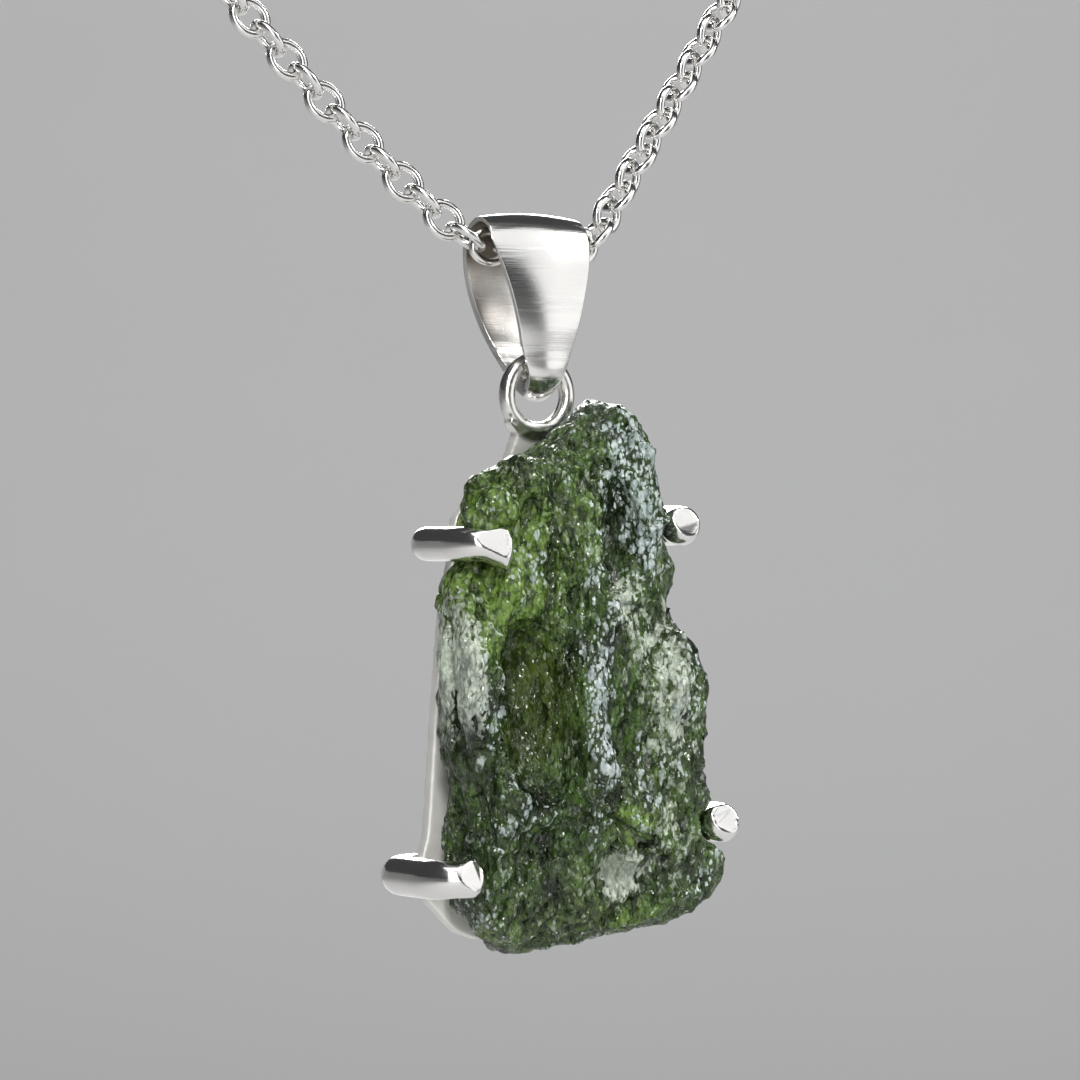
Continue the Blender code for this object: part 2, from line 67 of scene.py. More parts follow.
# ridges and hollows of the face, each a line of points across and down from the swing axis,
# with its half width and rise
STONE_STROKES = (
    (((-0.4, 9.5), (0.0, 13.0), (-0.8, 17.0), (-0.4, 20.5), (-1.0, 24.5)), 1.4, 0.85),
    (((-6.9, 12.0), (-6.7, 15.0), (-6.1, 19.0), (-4.8, 21.5)), 1.0, 0.80),
    (((-3.7, 14.2), (-3.6, 17.0), (-3.2, 20.4)), 2.0, -0.70),
    (((-5.0, 21.4), (-3.0, 22.2), (-1.2, 21.8)), 0.9, 0.45),
    (((2.4, 3.0), (2.9, 6.5), (3.2, 10.0), (2.8, 13.5)), 1.2, 0.55),
    (((1.0, 5.0), (1.4, 8.5), (1.5, 11.0)), 0.9, -0.60),
    (((1.6, 12.5), (2.0, 16.0), (1.4, 19.5)), 1.0, -0.65),
    (((4.2, 14.0), (4.5, 17.0), (4.0, 20.5)), 1.2, 0.50),
    (((0.2, 21.6), (1.8, 23.2), (3.4, 24.0)), 0.8, -0.50),
    (((0.9, 24.6), (2.0, 25.4), (2.8, 25.8)), 1.3, -0.28),
    (((-5.2, 22.6), (-5.0, 25.6), (-4.6, 28.2)), 1.1, 0.50),
    (((-2.6, 23.4), (-2.4, 26.0), (-2.0, 28.4)), 1.0, -0.55),
    (((-5.4, 6.8), (-4.0, 9.4), (-4.6, 11.6)), 0.9, 0.35),
    (((-2.2, 6.0), (-2.0, 9.0), (-2.6, 12.0)), 0.8, -0.40),
)
STONE_SHOULDERS = (
    (((-3.2, 5.8), (-4.2, 6.4), (-5.6, 7.8)), 1.7, 0.95),
    (((-6.2, 11.0), (-6.6, 19.5)), 1.5, 0.45),
    (((3.0, 2.9), (3.6, 4.0)), 1.4, 0.20),
)
STONE_BLADES = (
    (((-0.5, 21.9), (1.2, 22.2), (2.4, 23.0), (2.9, 23.6)), 0.42, 0.42),
    (((-0.2, 22.6), (1.2, 23.9), (2.2, 24.5), (4.1, 24.2)), 0.42, 0.50),
    (((5.2, 13.2), (4.6, 15.4), (4.0, 17.6)), 0.40, 0.30),
    (((2.6, 14.6), (3.2, 16.8), (3.0, 19.4)), 0.36, 0.28),
    (((-0.2, 10.6), (0.9, 12.0), (1.0, 13.6)), 0.40, 0.28),
    (((2.2, 7.4), (2.8, 8.6), (4.2, 7.6)), 0.40, 0.32),
    (((-5.9, 15.2), (-5.5, 18.2), (-4.6, 20.6)), 0.40, 0.30),
    (((-6.8, 23.6), (-5.2, 24.0)), 0.36, 0.25),
    (((1.8, 27.9), (3.6, 27.4), (5.4, 26.4)), 0.50, 0.34),
)
STONE_SMOOTH = (
    (((-3.6, 14.6), (-3.3, 19.8)), 2.3, 0.85),
    (((1.4, 25.2), (2.6, 25.6)), 1.3, 0.75),
    (((-6.8, 14.0), (-6.4, 18.0)), 0.8, 0.50),
    (((1.6, 8.4), (1.4, 12.4)), 1.0, 0.50),
    (((4.3, 16.0), (4.2, 19.0)), 1.0, 0.35),
)

# setting: the plate with its neck and hanging ring
SETTING_VOXEL = 0.10
NECK_CUT = -10.35
RING_RADIUS = 1.75
RING_WIRE = 0.42

# claws, in millimetres from the pendant's middle: level below the swing axis, side, root, flank,
# reach of the tip, wire radius, bend at the root, turn and straight run of the tip
CLAWS = {
    "prong_upper_left": (9.15, -1, 4.87, 6.65, 4.75, 0.86, 1.5, 64.0, 0.85),
    "prong_upper_right": (8.25, 1, 3.87, 6.10, 4.75, 1.00, 1.5, 48.0, 0.0),
    "prong_lower_left": (25.30, -1, 6.60, 8.15, 4.65, 0.98, 1.4, 64.0, 0.70),
    "prong_lower_right": (23.05, 1, 6.84, 8.20, 5.10, 1.00, 1.3, 44.0, 0.0),
}
# each claw's tip: swelling of its height, drop in millimetres, the way its filed flat faces
# and the flat's depth as a share of the wire's radius
CLAW_TIPS = {
    "prong_upper_left": (1.45, 0.30, (-0.17, -0.91, 0.38), 0.46),
    "prong_upper_right": (1.0, 0.0, (-0.20, -0.91, 0.37), 0.42),
    "prong_lower_left": (1.10, -0.10, (0.24, -0.92, 0.30), 0.50),
    "prong_lower_right": (1.0, 0.0, (-0.17, -0.91, 0.38), 0.42),
}
CLAW_TIP_BEND = 1.45
CLAW_CORNERS = 28
CLAW_VOXEL = 0.065

# chain: wire radius and the links' own proportions
LINK_WIRE = 0.215
END_RING_WIRE = 0.30

# camera and stage
CAMERA_PLACE = (-119.1, -190.9, -14.5)
CAMERA_TURN = -32.0
CAMERA_LENS = 150.0
FLOOR_DROP = 80.0
FLOOR_SWEEP = ((0.42, 0.0), (0.55, 0.006), (0.66, 0.028), (0.76, 0.066), (0.85, 0.118), (0.93, 0.180),
               (0.99, 0.245), (1.00, 0.262))


# Selecting and shaping

def drop_selection():
    """Nothing stays selected, and no piece stays in edit mode."""
    if bpy.context.object and bpy.context.object.mode == "EDIT":
        bpy.ops.object.mode_set(mode="OBJECT")
    bpy.ops.object.select_all(action="DESELECT")


def take(piece):
    """The piece alone is selected and active."""
    drop_selection()
    piece.select_set(True)
    bpy.context.view_layer.objects.active = piece


def apply_modifiers(piece):
    take(piece)
    for modifier in list(piece.modifiers):
        bpy.ops.object.modifier_apply(modifier=modifier.name)


def settle_place(piece):
    """The piece's place goes into its mesh."""
    take(piece)
    bpy.ops.object.transform_apply(location=True, rotation=True, scale=True)


def merged_copy(node, name):
    """A copy of a solid with its corners merged and its triangles joined into squares again."""
    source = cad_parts[node]
    piece = bpy.data.objects.new(name, source.data.copy())
    bpy.context.collection.objects.link(piece)
    piece.data.materials.clear()
    take(piece)
    bpy.ops.object.mode_set(mode="EDIT")
    bpy.ops.mesh.select_all(action="SELECT")
    bpy.ops.mesh.remove_doubles(threshold=0.000002)
    bpy.ops.mesh.tris_convert_to_quads(face_threshold=math.radians(50), shape_threshold=math.radians(60))
    bpy.ops.mesh.normals_make_consistent(inside=False)
    bpy.ops.object.mode_set(mode="OBJECT")
    return piece


def voxel_skin(piece, size):
    remesh = piece.modifiers.new("even skin", "REMESH")
    remesh.mode = "VOXEL"
    remesh.voxel_size = size * MM
    apply_modifiers(piece)


def soften(piece, factor, rounds):
    smooth = piece.modifiers.new("soften", "SMOOTH")
    smooth.factor = factor
    smooth.iterations = rounds
    apply_modifiers(piece)


def subdivide(piece, levels):
    finer = piece.modifiers.new("finer", "SUBSURF")
    finer.levels = levels
    finer.render_levels = levels
    apply_modifiers(piece)


def shade_round(piece):
    take(piece)
    bpy.ops.object.shade_smooth()


def finish_piece(piece, body, nodes, finish):
    """The finished piece rides its body and stands for its solids."""
    piece.data.materials.clear()
    piece.data.materials.append(finish)
    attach(piece, body)
    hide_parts(*nodes)


# Shader maths

class Amount:
    """A number that changes over a surface, for use in sums and products."""

    def __init__(self, finish, socket):
        self.finish = finish
        self.socket = socket

    def combine(self, operation, first, second):
        node = self.finish.add("ShaderNodeMath", {"operation": operation}, {0: first, 1: second})
        return Amount(self.finish, node.outputs[0])

    def __add__(self, other):
        return self.combine("ADD", self, other)

    def __radd__(self, other):
        return self.combine("ADD", other, self)

    def __sub__(self, other):
        return self.combine("SUBTRACT", self, other)

    def __rsub__(self, other):
        return self.combine("SUBTRACT", other, self)

    def __mul__(self, other):
        return self.combine("MULTIPLY", self, other)

    def __rmul__(self, other):
        return self.combine("MULTIPLY", other, self)

    def __pow__(self, other):
        return self.combine("POWER", self, other)

    def between(self, low, high):
        """Nothing below low, one above high, and a smooth step between them."""
        node = self.finish.add(
            "ShaderNodeMapRange",
            {"interpolation_type": "SMOOTHSTEP"},
            {"Value": self, "From Min": low, "From Max": high},
        )
        return Amount(self.finish, node.outputs["Result"])


class Finish:
    """A material under the maker's hand: its nodes, patterns and shader."""

    def __init__(self, name):
        self.material = bpy.data.materials.new(name)
        self.material.use_nodes = True
        self.tree = self.material.node_tree
        self.shader = self.tree.nodes["Principled BSDF"]
        self.output = self.tree.nodes["Material Output"]
        self.place = self.add("ShaderNodeTexCoord").outputs["Object"]

    def add(self, kind, settings=None, sockets=None):
        """One node, its settings first and then the values or links of its sockets."""
        node = self.tree.nodes.new(kind)
        for name, value in (settings or {}).items():
            setattr(node, name, value)
        for name, value in (sockets or {}).items():
            self.feed(node.inputs[name], value)
        return node

    def feed(self, socket, value):
        source = value.socket if isinstance(value, Amount) else value
        if isinstance(source, bpy.types.NodeSocket):
            self.tree.links.new(source, socket)
        else:
            socket.default_value = source

    def spread(self, per_mm, turn=(0.0, 0.0, 0.0), shift=(0.0, 0.0, 0.0)):
        """Object coordinates as a pattern sees them: cells for each millimetre along X, Y and Z."""
        scale = tuple(value / MM for value in per_mm)
        rotation = tuple(math.radians(value) for value in turn)
        node = self.add(
            "ShaderNodeMapping",
            {"vector_type": "POINT"},
            {"Vector": self.place, "Scale": scale, "Rotation": rotation, "Location": shift},
        )
        return node.outputs["Vector"]

    def cloud(self, per_mm, detail=4.0, roughness=0.55, distortion=0.0, turn=(0.0, 0.0, 0.0)):
        node = self.add(
            "ShaderNodeTexNoise",
            None,
            {"Vector": self.spread(per_mm, turn), "Scale": 1.0, "Detail": detail,
             "Roughness": roughness, "Distortion": distortion},
        )
        return Amount(self, node.outputs[0])

    def cells(self, per_mm, feature="F1", turn=(0.0, 0.0, 0.0), randomness=1.0):
        node = self.add(
            "ShaderNodeTexVoronoi",
            {"feature": feature},
            {"Vector": self.spread(per_mm, turn), "Scale": 1.0, "Randomness": randomness},
        )
        return Amount(self, node.outputs["Distance"])

    def grains(self, per_mm, turn=(0.0, 12.0, 0.0)):
        """Broken scales: each one's own tone, its solid middle, and a plane tipped its own way."""
        straight = self.spread(per_mm, turn)
        drift = self.add("ShaderNodeTexNoise", None, {"Vector": straight, "Scale": 0.9, "Detail": 2.0})
        shift = self.add("ShaderNodeVectorMath", {"operation": "SCALE"},
                         {0: drift.outputs["Color"], "Scale": 1.1})
        where = self.add("ShaderNodeVectorMath", {"operation": "ADD"},
                         {0: straight, 1: shift.outputs["Vector"]}).outputs["Vector"]
        cell = self.add("ShaderNodeTexVoronoi", {"feature": "F1"}, {"Vector": where, "Scale": 1.0})
        away = self.add("ShaderNodeVectorMath", {"operation": "SUBTRACT"},
                        {0: where, 1: cell.outputs["Position"]})
        tip = self.add("ShaderNodeVectorMath", {"operation": "SUBTRACT"},
                       {0: cell.outputs["Color"], 1: (0.5, 0.5, 0.5)})
        plane = self.add("ShaderNodeVectorMath", {"operation": "DOT_PRODUCT"},
                         {0: away.outputs["Vector"], 1: tip.outputs["Vector"]})
        tone = self.add("ShaderNodeVectorMath", {"operation": "DOT_PRODUCT"},
                        {0: cell.outputs["Color"], 1: (1.0, 0.0, 0.0)})
        core = 1.0 - Amount(self, cell.outputs["Distance"])
        return Amount(self, tone.outputs["Value"]), core, Amount(self, plane.outputs["Value"])

    def spot(self, across, height, half_width, half_height):
        """One in the middle of an oval patch of the face, fading to nothing at its rim."""
        per_mm = (1.0 / half_width, 0.0, 1.0 / half_height)
        shift = (-across / half_width, 0.0, -height / half_height)
        vector = self.spread(per_mm, shift=shift)
        node = self.add("ShaderNodeTexGradient", {"gradient_type": "SPHERICAL"}, {"Vector": vector})
        return Amount(self, node.outputs["Fac"])

    def relief(self, name):
        node = self.add("ShaderNodeAttribute", {"attribute_name": name})
        return Amount(self, node.outputs["Fac"])

    def blend(self, mask, below, above):
        """One colour over another by a mask."""
        node = self.add("ShaderNodeMix", {"data_type": "RGBA"})
        self.feed(node.inputs[0], mask)
        self.feed(node.inputs[6], below)
        self.feed(node.inputs[7], above)
        return node.outputs[2]

    def bump(self, height, distance, strength=1.0, under=None):
        """Raises the surface by a height in millimetres, on top of another bump if there is one."""
        sockets = {"Height": height, "Distance": distance * MM, "Strength": strength}
        if under is not None:
            sockets["Normal"] = under
        return self.add("ShaderNodeBump", None, sockets).outputs["Normal"]


def colour(red, green, blue):
    return (red, green, blue, 1.0)


# Finishes

def moldavite_finish():
    """Clear bottle-green glass under an etched skin whose chips glint like scales, partly by real reflection
    off their tipped planes and partly by painted glints; it also carries painted glow where light shines
    through and painted shade in its hollows, pits and gaps.
    """
    glass = Finish("moldavite glass")
    mottle = glass.cloud((0.55, 0.55, 0.34), detail=5.0)
    flecks = glass.cloud((2.9, 2.9, 1.8), detail=4.0, roughness=0.7)
    drifts = glass.cloud((1.1, 1.1, 0.6), detail=3.0, roughness=0.6)
    crest = glass.relief("crest")
    tone, core, plane = glass.grains((3.0, 3.0, 1.6))
    fine_tone, fine_core, fine_plane = glass.grains((6.0, 6.0, 3.6))
    # painted light: brighter yellow-green patches where light shining through the thin glass is painted into
    # the colour
    painted_glow = glass.spot(-5.4, -15.8, 5.0, 7.4) + glass.spot(1.2, -28.4, 2.2, 1.5) * 1.1
    painted_glow = painted_glow + glass.spot(-3.6, -23.0, 3.0, 4.6) * 0.30 + glass.spot(-0.6, -12.6, 2.4, 5.0) * 0.4
    painted_glow = painted_glow + glass.spot(-4.6, -33.6, 3.4, 2.4) * 0.55 + glass.spot(1.4, -33.2, 4.0, 1.6) * 0.60
    painted_glow = painted_glow + glass.spot(3.4, -26.0, 3.4, 6.0) * 0.35 + glass.spot(-1.6, -31.4, 2.4, 3.0) * 0.40
    painted_glow = (painted_glow * 1.25 + mottle * 0.7 + tone * 0.30 + fine_tone * 0.40 - 0.86).between(0.0, 0.80)
    # painted reflection: zones where the etched skin is painted silvery-white, standing in for glints of the
    # lamps
    painted_glint_zones = glass.spot(2.0, -12.0, 3.0, 7.5) * 1.50 + glass.spot(-0.9, -22.4, 1.4, 9.5) * 1.25
    painted_glint_zones = painted_glint_zones + glass.spot(-3.9, -15.6, 1.2, 1.8) * 0.9 + glass.spot(-5.9, -22.8, 1.2, 3.4) * 0.7
    painted_glint_zones = painted_glint_zones + glass.spot(6.0, -31.0, 2.0, 2.2) + glass.spot(5.4, -20.5, 1.6, 3.0) * 0.8
    painted_glint_zones = painted_glint_zones + glass.spot(2.2, -26.6, 3.0, 3.4) * 0.6 + glass.spot(-4.8, -28.0, 2.6, 3.0) * 0.7
    painted_glint_zones = painted_glint_zones + glass.spot(4.2, -24.0, 2.4, 4.4) * 0.55
    painted_glint_zones = painted_glint_zones + glass.spot(-6.4, -33.2, 1.6, 3.0) * 0.7 + glass.spot(-0.4, -34.4, 4.0, 1.4) * 0.6
    pale = glass.spot(-7.9, -21.0, 1.2, 4.6) * 1.3 + glass.spot(1.2, -30.9, 1.6, 1.5) * 1.9
    pale = pale + glass.spot(3.9, -22.8, 1.9, 4.2) * 0.6 + glass.spot(0.9, -17.6, 1.4, 1.9)
    pale = pale + glass.spot(3.2, -20.0, 2.8, 6.0) * 0.35 + glass.spot(3.4, -28.6, 2.4, 2.8) * 0.35
    # painted shade: near-black patches painted into the deep pits of the face
    pits = glass.spot(-4.0, -27.2, 2.6, 1.2) + glass.spot(-2.9, -31.6, 1.5, 2.6) * 0.7
    pits = pits + glass.spot(-7.6, -24.6, 1.0, 3.0) * 0.7 + glass.spot(5.4, -18.6, 0.9, 1.6) * 0.8
    bowl = glass.spot(-3.6, -22.4, 2.3, 5.2).between(0.10, 0.60)
    # painted shade: the borders between the grains are darkened, as shade between the chips
    painted_gap_shade = (1.0 - core.between(0.28, 0.52)) * 0.6 + (1.0 - fine_core.between(0.28, 0.52)) * 0.5
    deep = colour(0.006, 0.013, 0.005)
    green = glass.blend(mottle.between(0.30, 0.64), deep, colour(0.108, 0.198, 0.044))
    # the painted glow laid over the green
    green = glass.blend(painted_glow, green, colour(0.240, 0.395, 0.072))
    milky = (pale * 1.0 + tone * 0.50 + fine_tone * 0.50 + flecks * 0.7 - 1.02).between(0.0, 0.40)
    green = glass.blend(milky * 0.92, green, colour(0.86, 0.96, 0.80))
    green = glass.blend(bowl * 0.75, green, colour(0.075, 0.105, 0.016))
    # painted shade: the low parts of the relief, away from the crests, are darkened towards deep green where
    # shade falls
    hollows = (0.42 - crest * 0.6 - flecks * 0.35 - pale * 0.4).between(-0.05, 0.12)
    green = glass.blend(hollows * 0.60, green, deep)
    # the painted shade between the chips laid over the green
    green = glass.blend(painted_gap_shade * (0.75 - bowl * 0.5 - milky * 0.35), green, deep)
    green = glass.blend(pits.between(0.1, 0.8) * 0.9, green, colour(0.003, 0.006, 0.003))
    # painted glints: the grains' middles in those zones and on the crests take the silvery colour
    scales = (tone * 0.6 + painted_glint_zones * 0.55 + crest * 0.40 + drifts * 1.0 - 1.42).between(0.0, 0.24)
    small = (fine_tone * 0.6 + painted_glint_zones * 0.55 + crest * 0.40 + drifts * 1.0 - 1.39).between(0.0, 0.24)
    painted_glints = scales * core.between(0.35, 0.65) * 0.85 + small * fine_core.between(0.35, 0.65) * 0.85
    painted_glints = painted_glints * (1.0 - bowl)
    # the colour of the painted glints, from grey-green to bluish white
    glint_colour = glass.blend(
        (flecks * 1.4 + fine_tone * 0.4 - 0.40).between(0.0, 0.8),
        colour(0.30, 0.41, 0.37), colour(0.84, 0.95, 0.95),
    )
    skin = glass.blend(painted_glints.between(0.0, 1.0), green, glint_colour)
    glass.feed(glass.shader.inputs["Base Color"], skin)
    glass.feed(glass.shader.inputs["Roughness"], 0.07 + painted_glints * 0.08 + flecks * 0.08)
    normal = glass.bump(plane, 0.40, 0.9)
    normal = glass.bump(fine_plane, 0.20, 0.9, normal)
    glass.feed(glass.shader.inputs["Normal"], normal)
    glass.shader.inputs["Transmission Weight"].default_value = 0.32
    glass.shader.inputs["IOR"].default_value = 1.5
    glass.shader.inputs["Specular IOR Level"].default_value = 0.6
    depth = glass.add(
        "ShaderNodeVolumeAbsorption", None, {"Color": colour(0.48, 0.68, 0.10), "Density": 600.0}
    )
    glass.feed(glass.output.inputs["Volume"], depth.outputs["Volume"])
    return glass.material


def polished_silver():
    """Buffed silver with hair-fine polishing marks."""
    silver = Finish("polished silver")
    haze = silver.cloud((0.8, 0.8, 0.8), detail=3.0)
    marks = silver.cloud((3.0, 3.0, 22.0), detail=3.0, turn=(0.0, 14.0, 0.0))
    tone = silver.blend(haze, colour(0.80, 0.79, 0.77), colour(0.93, 0.92, 0.90))
    silver.feed(silver.shader.inputs["Base Color"], tone)
    silver.feed(silver.shader.inputs["Roughness"], 0.07 + haze * 0.10 + marks * 0.06)
    silver.feed(silver.shader.inputs["Normal"], silver.bump(marks + haze, 0.006, 0.5))
    silver.shader.inputs["Metallic"].default_value = 1.0
    return silver.material


def bail_silver():
    """Lightly brushed silver, its grain running level across the leaf."""
    silver = Finish("bail silver")
    grain = silver.cloud((0.35, 0.35, 14.0), detail=4.0, roughness=0.6, turn=(0.0, 5.0, 0.0))
    lines = silver.cloud((0.12, 0.12, 3.0), detail=2.0, turn=(0.0, 5.0, 0.0)).between(0.56, 0.66)
    haze = silver.cloud((0.5, 0.5, 0.5), detail=3.0)
    tone = silver.blend(haze, colour(0.78, 0.77, 0.75), colour(0.92, 0.91, 0.89))
    # painted shade: the inner wall of the loop is darkened, most under the crown
    painted_inner_shade = silver.relief("inside") * (0.65 + haze * 0.5)
    tone = silver.blend(painted_inner_shade.between(0.0, 1.0), tone, colour(0.17, 0.14, 0.11))
    silver.feed(silver.shader.inputs["Base Color"], tone)
    silver.feed(silver.shader.inputs["Roughness"], 0.12 + grain * 0.12 + lines * 0.10 + painted_inner_shade * 0.20)
    silver.feed(silver.shader.inputs["Normal"], silver.bump(grain + lines * 0.4, 0.010, 0.5))
    silver.shader.inputs["Metallic"].default_value = 1.0
    return silver.material


def satin_silver():
    """Cast silver left satin, with soft mottling from the mould."""
    silver = Finish("satin silver")
    mottle = silver.cloud((1.1, 1.1, 1.1), detail=5.0, roughness=0.6)
    pits = silver.cloud((6.0, 6.0, 6.0), detail=3.0)
    tone = silver.blend(mottle, colour(0.80, 0.78, 0.74), colour(0.94, 0.93, 0.89))
    silver.feed(silver.shader.inputs["Base Color"], tone)
    ring = silver.spot(PENDANT_ACROSS, SWING_HEIGHT - RING_RADIUS, 3.0, 3.0).between(0.14, 0.27)
    silver.feed(silver.shader.inputs["Roughness"], (0.40 + mottle * 0.28) * (1.0 - ring * 0.62))
    silver.feed(silver.shader.inputs["Metallic"], 0.45 + ring * 0.55)
    silver.feed(silver.shader.inputs["Normal"], silver.bump(mottle + pits * 0.3, 0.04, 0.7))
    return silver.material


# The stone

def read_points(mesh, kind):
    """Places or normals of a mesh's points, as rows."""
    rows = np.empty(len(mesh.vertices) * 3)
    mesh.vertices.foreach_get(kind, rows)
    return rows.reshape(-1, 3)


def raise_points(mesh, heights):
    """Moves every point along its normal by its height in millimetres."""
    place = read_points(mesh, "co") + read_points(mesh, "normal") * heights[:, None] * MM
    mesh.vertices.foreach_set("co", place.ravel())
    mesh.update()


def nearness(place, points, half_width):
    """One on a line drawn over the face, easing to nothing at the half width from it."""
    flat = np.stack([place[:, 0] / MM - PENDANT_ACROSS, SWING_HEIGHT - place[:, 2] / MM], axis=1)
    nearest = np.full(len(flat), 1e9)
    for start, end in zip(points[:-1], points[1:]):
        start = np.array(start)
        along = np.array(end) - start
        share = np.clip((flat - start) @ along / (along @ along), 0.0, 1.0)
        away = np.linalg.norm(flat - start - share[:, None] * along, axis=1)
        nearest = np.minimum(nearest, away)
    near = np.clip(1.0 - nearest / half_width, 0.0, 1.0)
    return near * near * (3.0 - 2.0 * near)


def model_strokes(stone, strokes):
    """Pushes the ridges and hollows of the face in or out along drawn lines."""
    mesh = stone.data
    place = read_points(mesh, "co")
    facing = np.clip(-read_points(mesh, "normal")[:, 1] * 1.6, 0.0, 1.0)
    heights = np.zeros(len(place))
    for points, half_width, rise in strokes:
        heights += nearness(place, points, half_width) * rise
    raise_points(mesh, heights * facing)


def fill_shoulders(stone, shoulders):
    """Fills out the rounded corners of the stone's edge."""
    mesh = stone.data
    place = read_points(mesh, "co")
    ahead = np.clip(0.5 - read_points(mesh, "normal")[:, 1] * 2.0, 0.0, 1.0)
    heights = np.zeros(len(place))
    for points, half_width, rise in shoulders:
        heights = np.maximum(heights, nearness(place, points, half_width) * rise)
    raise_points(mesh, heights * ahead)


def raise_blades(stone, blades):
    """Draws thin sharp ledges over the skin, like the lips of old cracks."""
    mesh = stone.data
    place = read_points(mesh, "co")
    facing = np.clip(-read_points(mesh, "normal")[:, 1] * 1.6, 0.0, 1.0)
    heights = np.zeros(len(place))
    for points, half_width, rise in blades:
        heights = np.maximum(heights, nearness(place, points, half_width) ** 2 * rise)
    raise_points(mesh, heights * facing)


def worn(place, patches):
    """How smooth the skin is: one in the middle of the smooth hollows."""
    smooth = np.zeros(len(place))
    for points, half_width, amount in patches:
        smooth = np.maximum(smooth, nearness(place, points, half_width) * amount)
    return smooth


def etched_cups(spot, cell, draw):
    """Bowls with sharp rims, drawn out along the stone: nought in a bowl's bottom, one on a rim."""
    where = Vector((spot[0] / cell, spot[1] / cell, spot[2] / (cell * draw)))
    where += noise.noise_vector(where * 0.8) * 0.55 + noise.noise_vector(where * 2.6) * 0.14
    reach = noise.voronoi(where)[0]
    return min(1.0, 1.25 * reach[0]) ** 2


def drawn_folds(spot, cell, draw):
    """Sharp-backed folds running down the stone."""
    where = Vector((spot[0] / cell, spot[1] / cell, spot[2] / (cell * draw)))
    where += noise.noise_vector(where * 0.7) * 0.5
    return noise.ridged_multi_fractal(where, 0.9, 2.1, 4, 1.0, 2.0)


def etch(stone, layers, patches):
    """Eats the skin away in cups and folds, less in its smooth hollows."""
    mesh = stone.data
    place = read_points(mesh, "co")
    heights = np.zeros(len(place))
    for kind, cell, draw, depth in layers:
        laid = np.array([kind(spot, cell, draw) for spot in place / MM])
        heights += (laid - laid.mean()) * depth
    depth = np.abs(read_points(mesh, "normal")[:, 1])
    rim = depth < 0.5
    heights[rim] -= heights[rim].mean()
    facing = np.clip(depth * 1.5, RIM_RELIEF, 1.0)
    raise_points(mesh, heights * facing * (1.0 - worn(place, patches)))


def mark_crests(piece, rounds):
    """Stores how far each point stands out from its neighbours, as the relief's crests."""
    mesh = piece.data
    count = len(mesh.vertices)
    place = read_points(mesh, "co")
    normal = read_points(mesh, "normal")
    ends = np.empty(len(mesh.edges) * 2, int)
    mesh.edges.foreach_get("vertices", ends)
    first, second = ends.reshape(-1, 2).T
    degree = np.bincount(first, minlength=count) + np.bincount(second, minlength=count)

    def neighbours(values):
        total = np.zeros_like(values)
        np.add.at(total, first, values[second])
        np.add.at(total, second, values[first])
        return total / degree.reshape((-1,) + (1,) * (values.ndim - 1))

    wide = place
    for _ in range(rounds):
        wide = neighbours(wide)
    height = np.einsum("ij,ij->i", place - wide, normal) / MM
    height = neighbours(height)
    crest = np.clip(0.5 + height / (4.0 * height.std()), 0.0, 1.0)
    layer = mesh.attributes.new("crest", "FLOAT", "POINT")
    layer.data.foreach_set("value", crest.astype(np.float32))


def make_stone(finish):
    """The raw stone: an even skin, the face's ridges and hollows, then etched cups, folds and chips."""
    noise.seed_set(STONE_SEED)
    stone = merged_copy("moldavite_stone", "stone")
    voxel_skin(stone, STONE_VOXEL)
    soften(stone, 0.5, 2)
    fill_shoulders(stone, STONE_SHOULDERS)
    model_strokes(stone, STONE_STROKES)
    etch(stone, ((drawn_folds, 3.0, 2.2, 0.20), (etched_cups, 1.5, 1.9, 0.50)), STONE_SMOOTH)
    subdivide(stone, 1)
    etch(stone, ((etched_cups, 0.66, 1.8, 0.32), (drawn_folds, 0.8, 2.0, 0.08)), STONE_SMOOTH)
    raise_blades(stone, STONE_BLADES)
    mark_crests(stone, 14)
    shade_round(stone)
    finish_piece(stone, "pendant", STONE_PIECES, finish)
    return stone


# The setting

def tapered_neck(name):
    """A waisted block that spreads up into the ring and down onto the plate."""
    place = (PENDANT_ACROSS * MM, (PENDANT_FORWARD + 0.05) * MM, -9.80 * MM)
    drop_selection()
    bpy.ops.mesh.primitive_cube_add(size=1.0, location=place)
    neck = bpy.context.object
    neck.name = name
    neck.scale = (2.60 * MM, 0.78 * MM, 1.2 * MM)
    settle_place(neck)
    bpy.ops.object.mode_set(mode="EDIT")
    select_by(neck, lambda middle, normal: normal.z > 0.9)
    bpy.ops.mesh.extrude_region_move(TRANSFORM_OT_translate={"value": (0.0, -0.05 * MM, 0.55 * MM)})
    bpy.ops.transform.resize(value=(1.38, 1.0, 1.0))
    select_by(neck, lambda middle, normal: normal.z < -0.9)
    bpy.ops.transform.resize(value=(1.20, 1.0, 1.0))
    bpy.ops.transform.translate(value=(0.0, 0.40 * MM, 0.0))
    bpy.ops.mesh.extrude_region_move(TRANSFORM_OT_translate={"value": (0.0, 0.06 * MM, -0.9 * MM)})
    bpy.ops.transform.resize(value=(1.15, 0.8, 1.0))
    bpy.ops.object.mode_set(mode="OBJECT")
    return neck


def hanging_ring(name):
    place = (PENDANT_ACROSS * MM, PENDANT_FORWARD * MM, (SWING_HEIGHT - RING_RADIUS) * MM)
    drop_selection()
    bpy.ops.mesh.primitive_torus_add(
        location=place, rotation=(math.radians(90.0), 0.0, 0.0), major_segments=72, minor_segments=20,
        major_radius=RING_RADIUS * MM, minor_radius=RING_WIRE * MM,
    )
    ring = bpy.context.object
    ring.name = name
    settle_place(ring)
    return ring


